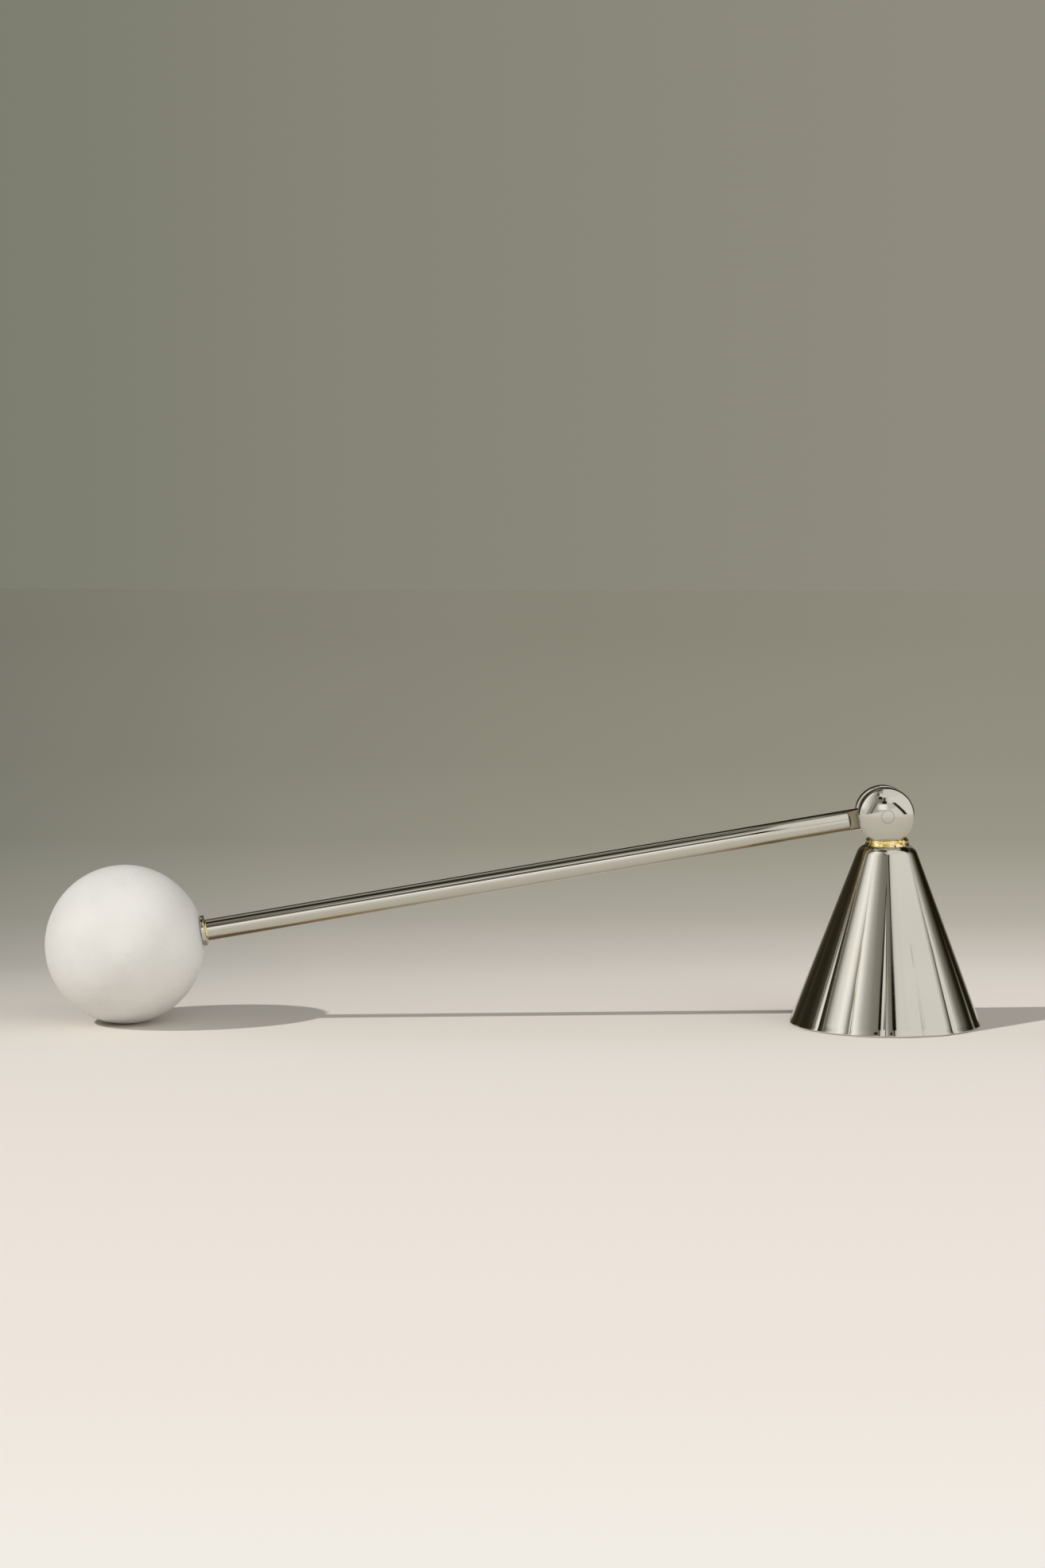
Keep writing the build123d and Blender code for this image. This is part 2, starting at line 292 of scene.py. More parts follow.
def milled_nickel(name, centre_mm, turn):
    """Plated but unpolished mill marks on the tongue: duller and more khaki than the rod."""
    material, tree, shader = finish(name)
    even = piece_space(tree, centre_mm, turn)
    arcs = add(
        tree, "ShaderNodeTexWave",
        {"Vector": even, "Scale": 1900.0, "Distortion": 2.0, "Detail": 3.0, "Detail Scale": 1.5},
        wave_type="RINGS", rings_direction="Y",
    ).outputs["Fac"]
    cloud = noise(tree, even, 350, 4)
    tone = ramp(tree, cloud, [(0.3, (0.20, 0.175, 0.12)), (0.7, (0.31, 0.28, 0.215))])
    tree.links.new(tone, shader.inputs["Base Color"])
    shader.inputs["Metallic"].default_value = 1.0
    tree.links.new(level(tree, cloud, 0.3, 0.7, 0.34, 0.24), shader.inputs["Roughness"])
    tree.links.new(bump(tree, arcs, 0.003), shader.inputs["Normal"])
    return material


def braze_brass(name, centre_mm, turn):
    """Golden brazing metal with dull grey and dark pitted places."""
    material, tree, shader = finish(name)
    even = piece_space(tree, centre_mm, turn)
    patches = noise(tree, even, 420, 4, 0.65)
    tone = ramp(tree, patches, [
        (0.34, (0.36, 0.22, 0.06)), (0.44, (0.88, 0.64, 0.20)),
        (0.56, (0.97, 0.82, 0.42)), (0.70, (0.93, 0.88, 0.66)),
    ])
    pits = level(tree, noise(tree, even, 900, 2), 0.62, 0.69)
    tone = blend_colours(tree, pits, tone, PITTED_BRASS)
    tree.links.new(tone, shader.inputs["Base Color"])
    shader.inputs["Metallic"].default_value = 1.0
    tree.links.new(level(tree, patches, 0.3, 0.7, 0.34, 0.16), shader.inputs["Roughness"])
    lumps = math(tree, "SUBTRACT", patches, pits)
    tree.links.new(bump(tree, lumps, 0.05), shader.inputs["Normal"])
    return material


def white_stone(name, centre_mm, turn):
    """Smooth honed white stone with faint clouds, a few hairline veins and small specks."""
    material, tree, shader = finish(name)
    even = piece_space(tree, centre_mm, turn)
    clouds = noise(tree, even, 38, 5, 0.6)
    tone = ramp(tree, clouds, [
        (0.30, linear(207, 206, 203)), (0.52, linear(214, 213, 210)),
        (0.75, linear(219, 218, 216)),
    ])
    folded = math(tree, "SUBTRACT", noise(tree, even, 26.0, 6.0, 0.62, 1.4), 0.5)
    vein = level(tree, math(tree, "ABSOLUTE", folded), 0.0, 0.012, 1, 0)
    tone = blend_colours(tree, math(tree, "MULTIPLY", vein, 0.10), tone, linear(196, 190, 180))
    grains = level(tree, noise(tree, even, 520, 2), 0.70, 0.78)
    tone = blend_colours(tree, math(tree, "MULTIPLY", grains, 0.22), tone, linear(176, 168, 156))
    tree.links.new(tone, shader.inputs["Base Color"])
    tree.links.new(level(tree, clouds, 0.3, 0.7, 0.50, 0.40), shader.inputs["Roughness"])
    shader.inputs["IOR"].default_value = 1.5
    shader.inputs["Specular IOR Level"].default_value = 0.35
    shader.inputs["Subsurface Weight"].default_value = 0.85
    shader.inputs["Subsurface Radius"].default_value = (1.0, 0.95, 0.88)
    shader.inputs["Subsurface Scale"].default_value = 12.0 * MM
    tree.links.new(bump(tree, noise(tree, even, 1500, 3), 0.006), shader.inputs["Normal"])
    return material


def worked_metal(name, centre_mm, turn, light, dark, rough_low, rough_high, rings):
    """Plated or turned small parts: tool rings about the piece's own Z, and dull patches."""
    material, tree, shader = finish(name)
    even = piece_space(tree, centre_mm, turn)
    patches = noise(tree, even, 260, 4, 0.6)
    tree.links.new(ramp(tree, patches, [(0.3, dark), (0.7, light)]), shader.inputs["Base Color"])
    shader.inputs["Metallic"].default_value = 1.0
    rough = level(tree, patches, 0.25, 0.75, rough_high, rough_low)
    tree.links.new(rough, shader.inputs["Roughness"])
    turning = add(
        tree, "ShaderNodeTexWave",
        {"Vector": even, "Scale": rings, "Distortion": 1.5, "Detail": 2.0},
        wave_type="RINGS", rings_direction="Z",
    ).outputs["Fac"]
    tree.links.new(bump(tree, turning, 0.004), shader.inputs["Normal"])
    return material


bell_centre = (BELL_AXIS_X, 0, BELL_SHOULDER_HEIGHT)
hinge_centre = (HINGE_X, 0, HINGE_HEIGHT)
ball_centre = (
    HINGE_X - PIVOT_TO_BALL * cos(REST_ANGLE), 0, HINGE_HEIGHT - PIVOT_TO_BALL * sin(REST_ANGLE)
)
unturned = (0, 0, 0)
bell_turn = (0, 0, radians(BELL_TURN))
handle_turn = (0, -REST_ANGLE, 0)
stud_turn = (0, -REST_ANGLE + pi / 2, 0)        # Z along the handle
bell_finish = polished_nickel(
    "nickel_bell", bell_centre, bell_turn, (5, 5, 1), 0.010, painted_crease_shade
)
knuckle_finish = polished_nickel("nickel_knuckle", hinge_centre, unturned, (3, 1, 1), 0.004)
pin_finish = polished_nickel("nickel_pin", hinge_centre, unturned, (1, 4, 1), 0.004)
rod_finish = polished_nickel(
    "nickel_rod", hinge_centre, handle_turn, (14, 1, 1), 0.003, painted_underside_reflection
)
tongue_finish = milled_nickel("nickel_tongue", hinge_centre, handle_turn)
ferrule_finish = polished_nickel("nickel_ferrule", hinge_centre, handle_turn, (1, 1, 1), 0.003)
collar_finish = braze_brass("braze_collar", bell_centre, unturned)
braze_finish = braze_brass("braze_ferrule", hinge_centre, handle_turn)
stone_finish = white_stone("stone_ball", ball_centre, handle_turn)
zinc_bell_finish = worked_metal(
    "zinc_fasteners", bell_centre, unturned, ZINC_LIGHT, ZINC_DARK, 0.28, 0.48, 700
)
zinc_stud_finish = worked_metal(
    "zinc_stud", hinge_centre, stud_turn, ZINC_LIGHT, ZINC_DARK, 0.28, 0.48, 700
)
brass_finish = worked_metal(
    "turned_brass", hinge_centre, stud_turn, BUSH_LIGHT, BUSH_DARK, 0.2, 0.4, 500
)


# ---------------------------------------------------------------- turned and fluted forms
def turned_form_tree():
    """Geometry Nodes: turns a profile about Z and creases it between convex flutes.

    The profile's points hold the radius at the flutes' crests in X, the depth of the creases
    in Y and the height in Z. They run once round the closed profile.
    """
    tree = bpy.data.node_groups.new("turned form", "GeometryNodeTree")
    for label, kind in (
        ("Profile", "NodeSocketGeometry"), ("Steps", "NodeSocketInt"),
        ("Flutes", "NodeSocketInt"), ("Material", "NodeSocketMaterial"),
    ):
        tree.interface.new_socket(label, in_out="INPUT", socket_type=kind)
    tree.interface.new_socket("Form", in_out="OUTPUT", socket_type="NodeSocketGeometry")
    given = add(tree, "NodeGroupInput").outputs
    result = add(tree, "NodeGroupOutput")
    points = add(tree, "GeometryNodeAttributeDomainSize", {0: given["Profile"]}).outputs[0]
    steps = given["Steps"]
    grid = add(
        tree, "GeometryNodeMeshGrid",
        {"Size X": 1.0, "Size Y": 1.0, "Vertices X": math(tree, "ADD", steps, 1.0),
         "Vertices Y": math(tree, "ADD", points, 1.0)},
    ).outputs["Mesh"]
    grid_place = add(tree, "GeometryNodeInputPosition").outputs[0]
    where = add(tree, "ShaderNodeSeparateXYZ", {0: grid_place}).outputs
    round_the_axis = math(tree, "ADD", where["X"], 0.5)
    along_profile = math(tree, "MULTIPLY", math(tree, "ADD", where["Y"], 0.5), points)
    index = math(tree, "FLOORED_MODULO", math(tree, "ROUND", along_profile), points)
    profile_point = add(
        tree, "GeometryNodeSampleIndex",
        {"Geometry": given["Profile"], "Index": index}, data_type="FLOAT_VECTOR", domain="POINT",
    )
    profile_place = add(tree, "GeometryNodeInputPosition").outputs[0]
    tree.links.new(profile_place, profile_point.inputs["Value"])
    sample = add(tree, "ShaderNodeSeparateXYZ", {0: profile_point.outputs["Value"]}).outputs
    crest, depth, height = sample["X"], sample["Y"], sample["Z"]
    angle = math(tree, "MULTIPLY", round_the_axis, 2 * pi)
    half = math(tree, "DIVIDE", pi, given["Flutes"])
    from_crest = math(tree, "WRAP", angle, half, math(tree, "MULTIPLY", half, -1.0))
    aside = math(tree, "DIVIDE", math(tree, "ABSOLUTE", from_crest), half)
    drop = math(tree, "MULTIPLY", depth, math(tree, "POWER", aside, CREASE_SHARPNESS))
    radius = math(tree, "SUBTRACT", crest, drop)
    place = add(
        tree, "ShaderNodeCombineXYZ",
        {0: math(tree, "MULTIPLY", radius, math(tree, "COSINE", angle)),
         1: math(tree, "MULTIPLY", radius, math(tree, "SINE", angle)), 2: height},
    ).outputs[0]
    formed = add(tree, "GeometryNodeSetPosition", {"Geometry": grid, "Position": place}).outputs[0]
    closed = add(
        tree, "GeometryNodeMergeByDistance", {"Geometry": formed, "Distance": 1e-4}
    ).outputs[0]
    real = add(tree, "GeometryNodeRealizeInstances", {"Geometry": closed}).outputs[0]
    finished = add(
        tree, "GeometryNodeSetMaterial", {"Geometry": real, "Material": given["Material"]}
    ).outputs[0]
    tree.links.new(finished, result.inputs[0])
    return tree


turned_form = turned_form_tree()


def outward(mesh, sharp_angle):
    """Merge what meets, point the faces outwards and shade smooth up to an angle."""
    shape = bmesh.new()
    shape.from_mesh(mesh)
    bmesh.ops.remove_doubles(shape, verts=shape.verts, dist=1e-7)
    bmesh.ops.dissolve_degenerate(shape, dist=1e-8, edges=shape.edges)
    bmesh.ops.recalc_face_normals(shape, faces=shape.faces)
    for face in shape.faces:
        face.smooth = True
    for edge in shape.edges:
        edge.smooth = not (edge.is_manifold and edge.calc_face_angle(0) > sharp_angle)
    shape.to_mesh(mesh)
    shape.free()


def one_material(mesh, material):
    """Give every face of a mesh one material; evaluated meshes may bring an empty slot."""
    mesh.materials.clear()
    mesh.materials.append(material)
    mesh.polygons.foreach_set("material_index", [0] * len(mesh.polygons))


def turned(name, profile, material, place, steps=192, flutes=FLUTE_COUNT, sharp=radians(32)):
    """Solid of a closed profile of (crest radius, crease depth, height), in millimetres."""
    line = bpy.data.meshes.new(name + "_profile")
    line.from_pydata(profile, [(i, i + 1) for i in range(len(profile) - 1)], [])
    source = bpy.data.objects.new(name + "_profile", line)
    scene.collection.objects.link(source)
    modifier = source.modifiers.new("turned form", "NODES")
    modifier.node_group = turned_form
    sockets = {item.name: item.identifier for item in turned_form.interface.items_tree}
    modifier[sockets["Steps"]] = steps
    modifier[sockets["Flutes"]] = flutes
    modifier[sockets["Material"]] = material
    source.update_tag()
    graph = bpy.context.evaluated_depsgraph_get()
    mesh = bpy.data.meshes.new_from_object(source.evaluated_get(graph))
    bpy.data.objects.remove(source)
    mesh.name = name
    one_material(mesh, material)
    mesh.transform(place)
    outward(mesh, sharp)
    piece = bpy.data.objects.new(name, mesh)
    scene.collection.objects.link(piece)
    return piece


def plain(points):
    """Profile without creases, from (radius, height) points."""
    return [(radius, 0.0, height) for radius, height in points]


def arc(centre, radius, start, end, count):
    """Points of an arc, its ends among them; angles in radians."""
    made = []
    for index in range(count + 1):
        angle = start + (end - start) * index / count
        made.append((centre[0] + radius * cos(angle), centre[1] + radius * sin(angle)))
    return made


def cutting_tool(name, shape):
    """Object of a bmesh, used only to add to or cut other meshes."""
    mesh = bpy.data.meshes.new(name)
    shape.to_mesh(mesh)
    shape.free()
    tool = bpy.data.objects.new(name, mesh)
    scene.collection.objects.link(tool)
    return tool


def box_solid(name, low, high, place):
    """Box used only to cut other meshes."""
    shape = bmesh.new()
    bmesh.ops.create_cube(shape, size=1.0)
    size = Vector(high) - Vector(low)
    middle = (Vector(high) + Vector(low)) / 2
    shape.transform(place @ Matrix.Translation(middle) @ Matrix.Diagonal((*size, 1)))
    return cutting_tool(name, shape)


def combine(base, steps, sharp=radians(32)):
    """Apply booleans to a base piece; steps are (operation, tool object)."""
    for operation, tool in steps:
        modifier = base.modifiers.new("cut", "BOOLEAN")
        modifier.operation = operation
        modifier.solver = "EXACT"
        modifier.object = tool
    graph = bpy.context.evaluated_depsgraph_get()
    mesh = bpy.data.meshes.new_from_object(base.evaluated_get(graph))
    base.modifiers.clear()
    old = base.data
    one_material(mesh, old.materials[0])
    base.data = mesh
    bpy.data.meshes.remove(old)
    for _, tool in steps:
        bpy.data.objects.remove(tool)
    outward(mesh, sharp)
    return base


# ---------------------------------------------------------------- bell
cone_angle = atan2(BELL_RIM_RADIUS - BELL_SHOULDER_RADIUS, BELL_SHOULDER_HEIGHT)
shoulder_centre = (
    BELL_SHOULDER_RADIUS - BELL_SHOULDER_ROUND * cos(cone_angle),
    BELL_SHOULDER_HEIGHT - BELL_SHOULDER_ROUND * sin(cone_angle),
)


def cone_wall(inset, top):
    """The cone's line drawn in by inset, from its top to the rim, as (radius, depth, height)."""
    bottom = (BELL_RIM_RADIUS - inset / cos(cone_angle), 0.0)
    points = []
    for index in range(CONE_STEPS + 1):
        part = index / CONE_STEPS
        points.append((
            top[0] + (bottom[0] - top[0]) * part, FLUTE_CREASE * part ** FLUTE_FADE,
            top[1] + (bottom[1] - top[1]) * part,
        ))
    return points


def bell_profile():
    """The bell's thin wall: flattened top, rounded shoulder, fluted cone and dressed rim."""
    hole = SPIGOT_RADIUS + BELL_HOLE_CLEARANCE
    lean = sin(cone_angle) / cos(cone_angle)
    top_end = radians(BELL_TOP_ROUND_END)
    round_start = BELL_TOP - BELL_TOP_ROUND * (sin(top_end) - sin(cone_angle))
    outer_top = (BELL_SHOULDER_RADIUS - (round_start - BELL_SHOULDER_HEIGHT) * lean, round_start)
    top_centre = (
        outer_top[0] - BELL_TOP_ROUND * cos(cone_angle),
        outer_top[1] - BELL_TOP_ROUND * sin(cone_angle),
    )
    inner_round = BELL_SHOULDER_ROUND - BELL_WALL
    inner_end = asin((UNDER_SEAT - shoulder_centre[1]) / inner_round)
    inner_top = (
        BELL_SHOULDER_RADIUS - BELL_WALL * cos(cone_angle),
        BELL_SHOULDER_HEIGHT - BELL_WALL * sin(cone_angle),
    )
    points = plain([(hole, BELL_TOP)])
    points += plain(arc(top_centre, BELL_TOP_ROUND, top_end, cone_angle, 14))
    outer, inner = cone_wall(0, outer_top), cone_wall(BELL_WALL, inner_top)
    points += outer[1:-1]
    rim_out, rim_in = outer[-1][0], inner[-1][0]
    # The rim is dressed round at both of its edges
    outer_edge = (rim_out - RIM_ROUND * (1 + lean * 0.35), RIM_ROUND)
    inner_edge = (rim_in + RIM_ROUND * (1 - lean * 0.35), RIM_ROUND)
    rim = arc(outer_edge, RIM_ROUND, cone_angle, -pi / 2, 7)
    rim += arc(inner_edge, RIM_ROUND, -pi / 2, cone_angle - pi, 7)
    points += [(radius, FLUTE_CREASE, height) for radius, height in rim]
    points += reversed(inner[1:-1])
    points += plain(reversed(arc(shoulder_centre, inner_round, inner_end, cone_angle, 10)))
    points += plain([(hole, UNDER_SEAT)])
    return points


bell_place = at_bell @ Matrix.Rotation(radians(BELL_TURN), 4, "Z")
bell = turned("fluted_bell", bell_profile(), bell_finish, bell_place, steps=640, sharp=radians(50))

# ---------------------------------------------------------------- collar, knuckle and pin
collar_top = BELL_SEAT_HEIGHT + COLLAR_THICKNESS
# The bead of brazing metal, as (radius, depth of its waves, height above the bell's top)
BEAD = (
    (COLLAR_BORE, 0, -0.02), (5.90, 0, -0.05), (6.38, 0, -0.17), (6.33, 0.10, 0.12),
    (6.17, 0.12, 0.36), (6.04, 0.05, 0.70), (6.03, 0.05, 0.95), (6.07, 0.11, 1.20),
    (5.98, 0.10, 1.48), (5.78, 0.05, 1.72), (5.58, 0.03, 1.92), (5.48, 0, 2.20), (5.42, 0, 2.20),
)
collar = turned(
    "neck_ring",
    [(radius, wave, BELL_TOP + rise) for radius, wave, rise in BEAD]
    + plain([(5.42, collar_top), (COLLAR_BORE, collar_top)]),
    collar_finish, at_bell, steps=264, flutes=BEAD_WAVES, sharp=radians(60),
)

dome_radius = (KNUCKLE_RADIUS ** 2 + KNUCKLE_DOME_HEIGHT ** 2) / (2 * KNUCKLE_DOME_HEIGHT)
dome_centre = KNUCKLE_HALF_BARREL + KNUCKLE_DOME_HEIGHT - dome_radius
edge_centre = (
    KNUCKLE_RADIUS - KNUCKLE_DOME_EDGE_ROUND,
    dome_centre + sqrt(
        (dome_radius - KNUCKLE_DOME_EDGE_ROUND) ** 2
        - (KNUCKLE_RADIUS - KNUCKLE_DOME_EDGE_ROUND) ** 2
    ),
)
edge_end = atan2(edge_centre[1] - dome_centre, edge_centre[0])


def ear_profile():
    """One ear of the knuckle about the pin: slot face, rounded rim, barrel, dome and pin hole."""
    slot_round = (KNUCKLE_RADIUS - SLOT_EDGE_ROUND, SLOT_HALF_WIDTH + SLOT_EDGE_ROUND)
    points = [(PIN_RADIUS, SLOT_HALF_WIDTH)]
    points += arc(slot_round, SLOT_EDGE_ROUND, -pi / 2, 0, 6)
    points += arc(edge_centre, KNUCKLE_DOME_EDGE_ROUND, 0, edge_end, 8)
    points += arc((0, dome_centre), dome_radius, edge_end, acos(PIN_RADIUS / dome_radius), 26)[1:]
    return plain(points)


def mirrored(profile):
    """The other ear's profile."""
    return [(radius, depth, -height) for radius, depth, height in profile]


def web_solid(place):
    """Floor of the slot: the barrel's lower part between the two ears."""
    shape = bmesh.new()
    reach = KNUCKLE_RADIUS - 3 * HAIR
    high = asin(-SLOT_FLOOR_DROP / reach)
    low = asin(-(KNUCKLE_PIN_HEIGHT + 0.5) / reach)
    right = arc((0, 0), reach, low, high, 12)
    outline = right + [(-x, z) for x, z in reversed(right)]
    front = [shape.verts.new((x, -WEB_HALF_WIDTH, z)) for x, z in outline]
    rear = [shape.verts.new((x, WEB_HALF_WIDTH, z)) for x, z in outline]
    shape.faces.new(front)
    shape.faces.new(list(reversed(rear)))
    for index in range(len(outline)):
        following = (index + 1) % len(outline)
        shape.faces.new((front[index], rear[index], rear[following], front[following]))
    bmesh.ops.recalc_face_normals(shape, faces=shape.faces)
    shape.transform(place)
    return cutting_tool("web", shape)


def threaded(radius, pitch, top, bottom, chamfer):
    """Profile of a threaded pin: ridges along its length and a chamfered end at the bottom."""
    points = [(0.0, bottom), (radius - chamfer, bottom)]
    height = bottom + chamfer
    root = radius - 0.55 * pitch
    while height + pitch < top:
        points += [(radius, height), (radius, height + 0.12 * pitch), (root, height + 0.5 * pitch),
                   (root, height + 0.62 * pitch)]
        height += pitch
    points += [(radius, height), (radius, top), (0.0, top)]
    return plain(points)


boss_top = -SLOT_FLOOR_DROP - 0.35
boss_bottom = -KNUCKLE_PIN_HEIGHT - 1
across = at_hinge @ along_pin
knuckle = turned("hinge_knuckle_body", ear_profile(), knuckle_finish, across, steps=256)
far_ear = turned("ear", mirrored(ear_profile()), knuckle_finish, across, steps=256)
boss = turned(
    "boss",
    plain([(0, boss_top), (KNUCKLE_BOSS_RADIUS, boss_top), (KNUCKLE_BOSS_RADIUS, boss_bottom),
           (0, boss_bottom)]),
    knuckle_finish, at_hinge @ Matrix.Translation((KNUCKLE_OFFSET, 0, 0)), steps=160,
)
below = box_solid("below", (-20, -20, -20), (20, 20, -KNUCKLE_PIN_HEIGHT), at_hinge)
spigot = turned(
    "spigot",
    threaded(
        SPIGOT_RADIUS, SPIGOT_PITCH, collar_top + 0.5, NUT_BOTTOM - SPIGOT_PAST_NUT, SPIGOT_CHAMFER
    ),
    knuckle_finish, at_bell, steps=96,
)
combine(knuckle, [
    ("UNION", far_ear), ("UNION", web_solid(at_hinge)), ("UNION", boss), ("DIFFERENCE", below),
    ("UNION", spigot),
])

pin_end = dome_centre + sqrt(dome_radius ** 2 - PIN_RADIUS ** 2)
pin_cap = arc(
    (0, dome_centre), dome_radius, acos((PIN_RADIUS - PIN_EDGE_CHAMFER) / dome_radius), pi / 2, 10
)
pin_points = [(PIN_RADIUS, pin_end - PIN_EDGE_CHAMFER)] + pin_cap
pin = turned(
    "hinge_pin_turned",
    plain(pin_points + [(radius, -height) for radius, height in reversed(pin_points)]),
    pin_finish, across, steps=96,
)

# ---------------------------------------------------------------- rod, ferrule and ball
mill = TONGUE_HALF_THICKNESS
rod_line = [(0, TONGUE_LENGTH), (mill + 0.05, TONGUE_LENGTH)]
rod_line += [(ROD_RADIUS - step, TONGUE_LENGTH + past) for step, past in ROD_SHOULDER]
rod_line += [(ROD_RADIUS, distance) for distance in (40, 80, 120, 160)]
rod_line += [
    (ROD_RADIUS, ROD_END - ROD_EDGE_ROUND), (ROD_RADIUS - ROD_EDGE_ROUND, ROD_END),
    (STUD_RADIUS, ROD_END), (STUD_RADIUS, ROD_END - STUD_BORE_DEPTH),
    (0, ROD_END - STUD_BORE_DEPTH),
]
rod = turned("handle_rod_turned", plain(rod_line), rod_finish, along_handle, steps=192)
tongue_reach = ROD_RADIUS - HAIR
tongue_end = TONGUE_LENGTH + TONGUE_OVERLAP
tongue = turned(
    "tongue",
    plain([(0, 0), (tongue_reach, 0), (tongue_reach, tongue_end), (0, tongue_end)]),
    rod_finish, along_handle, steps=192,
)
front_mill = box_solid("front_mill", (-30, -12, -12), (8, -mill, 12), on_handle)
rear_mill = box_solid("rear_mill", (-30, mill, -12), (8, 12, 12), on_handle)
combine(tongue, [("DIFFERENCE", front_mill), ("DIFFERENCE", rear_mill)])
eye_edge = EYE_RADIUS - EYE_EDGE_ROUND
eye = turned(
    "eye",
    plain(
        [(0, -mill)]
        + arc((eye_edge, -mill + EYE_EDGE_ROUND), EYE_EDGE_ROUND, -pi / 2, 0, 3)
        + arc((eye_edge, mill - EYE_EDGE_ROUND), EYE_EDGE_ROUND, 0, pi / 2, 3)
        + [(0, mill)]
    ),
    rod_finish, on_handle @ along_pin, steps=160,
)
bore = PIN_RADIUS + PIN_CLEARANCE
pin_bore = turned(
    "pin_bore", plain([(0, -5), (bore, -5), (bore, 5), (0, 5)]),
    rod_finish, on_handle @ along_pin, steps=96,
)
combine(rod, [("UNION", tongue), ("UNION", eye), ("DIFFERENCE", pin_bore)])
rod.data.materials.append(tongue_finish)
for face in rod.data.polygons:
    if abs(abs(face.normal.y) - 1) < 1e-3 and abs(abs(face.center.y) / MM - mill) < 0.01:
        face.material_index = 1

mouth = ROD_END + FERRULE_THICKNESS
ferrule_edge = FERRULE_RADIUS - FERRULE_EDGE_ROUND
ferrule = turned(
    "ferrule_turned",
    plain(
        [(STUD_RADIUS, ROD_END)]
        + arc((ferrule_edge, ROD_END + FERRULE_EDGE_ROUND), FERRULE_EDGE_ROUND, -pi / 2, 0, 8)
        + arc((ferrule_edge, mouth - FERRULE_EDGE_ROUND), FERRULE_EDGE_ROUND, 0, pi / 2, 8)
        + [(STUD_RADIUS, mouth)]
    ),
    ferrule_finish, along_handle,
)
braze = turned(
    "ferrule_braze_ring",
    plain(
        [(ROD_RADIUS, ROD_END), (ROD_RADIUS + BRAZE_LEG, ROD_END)]
        + arc((ROD_RADIUS + BRAZE_LEG, ROD_END - BRAZE_LEG), BRAZE_LEG, pi / 2, pi, 6)[1:]
    ),
    braze_finish, along_handle,
)
seat_angle = pi - asin(BALL_SEAT_RADIUS / BALL_RADIUS)
ball_points = [(INSERT_RADIUS, mouth)]
ball_points += [
    (BALL_RADIUS * sin(angle), PIVOT_TO_BALL + BALL_RADIUS * cos(angle))
    for angle in (seat_angle - seat_angle * index / BALL_STEPS for index in range(BALL_STEPS + 1))
]
ball_points += [(0, mouth + INSERT_LENGTH), (INSERT_RADIUS, mouth + INSERT_LENGTH)]
ball = turned("stone_ball_turned", plain(ball_points), stone_finish, along_handle, steps=192)

# ---------------------------------------------------------------- bodies, slots and kept solids
for piece, body, node, slot in (
    (bell, "bell", "bell", "polished_nickel"),
    (collar, "bell", "neck_collar", "braze_brass"),
    (knuckle, "bell", "hinge_knuckle", "polished_nickel"),
    (pin, "bell", "hinge_pin", "polished_nickel"),
    (rod, "handle", "handle_rod", "polished_nickel"),
    (ferrule, "handle", "ferrule", "polished_nickel"),
    (braze, "handle", "ferrule_braze", "braze_brass"),
    (ball, "handle", "handle_ball", "white_stone"),
):
    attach(piece, body)
    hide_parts(node)

for node, material in (
    ("top_washer", zinc_bell_finish), ("lock_washer", zinc_bell_finish),
    ("top_nut", zinc_bell_finish), ("ball_stud", zinc_stud_finish), ("ball_insert", brass_finish),
):
    for place in frame["nodes"][node].material_slots:
        place.material = material


# ---------------------------------------------------------------- floor
FLOOR_PAINTED_FALLOFF = (
    # distance behind the snuffer in metres, display colour of the paper with the light's falloff
    # painted in
    (-0.60, (255, 254, 248)), (-0.40, (248, 241, 234)), (-0.16, (241, 234, 227)),
    (-0.06, (234, 228, 220)), (-0.02, (226, 220, 211)), (0.04, (224, 217, 209)),
    (0.09, (215, 209, 201)), (0.14, (201, 195, 187)), (0.24, (178, 173, 163)),
    (0.36, (166, 163, 151)), (0.51, (153, 151, 138)), (0.92, (146, 144, 131)),
    (2.50, (141, 139, 126)),
)
FLOOR_REACH = 4.0


def floor_finish():
    """Pale matt paper with painted shade: it greys with distance behind the snuffer, as the light
    on a studio sweep falls off.
    """
    material, tree, shader = finish("floor_paper")
    own = add(tree, "ShaderNodeTexCoord").outputs["Object"]
    axes = add(tree, "ShaderNodeSeparateXYZ", {0: own}).outputs
    nearest, farthest = FLOOR_PAINTED_FALLOFF[0][0], FLOOR_PAINTED_FALLOFF[-1][0]
    place = level(tree, axes["Y"], nearest, farthest)
    tone = ramp(tree, place, [
        ((distance - nearest) / (farthest - nearest), linear(*colour))
        for distance, colour in FLOOR_PAINTED_FALLOFF
    ])
    # Painted shade: the sweep falls off towards the left, away from the fill
    away = math(tree, "ADD", math(tree, "ABSOLUTE", axes["Y"]), 0.6)
    spread = math(tree, "DIVIDE", axes["X"], away)
    painted_side_shade = ramp(tree, level(tree, spread, -0.24, 0.20), [
        (0.0, (0.66, 0.68, 0.68)), (0.16, (0.765, 0.785, 0.785)), (0.30, (0.86, 0.87, 0.87)),
        (0.36, (0.915, 0.92, 0.92)), (0.545, 0.995), (0.93, 1.10),
    ])
    depth = level(tree, axes["Y"], -0.03, 0.12)
    painted_dimmed = blend_colours(tree, 1.0, tone, painted_side_shade, "MULTIPLY")
    tone = blend_colours(tree, depth, tone, painted_dimmed)
    tree.links.new(tone, shader.inputs["Base Color"])
    shader.inputs["Roughness"].default_value = 0.9
    shader.inputs["Specular IOR Level"].default_value = 0.0
    return material


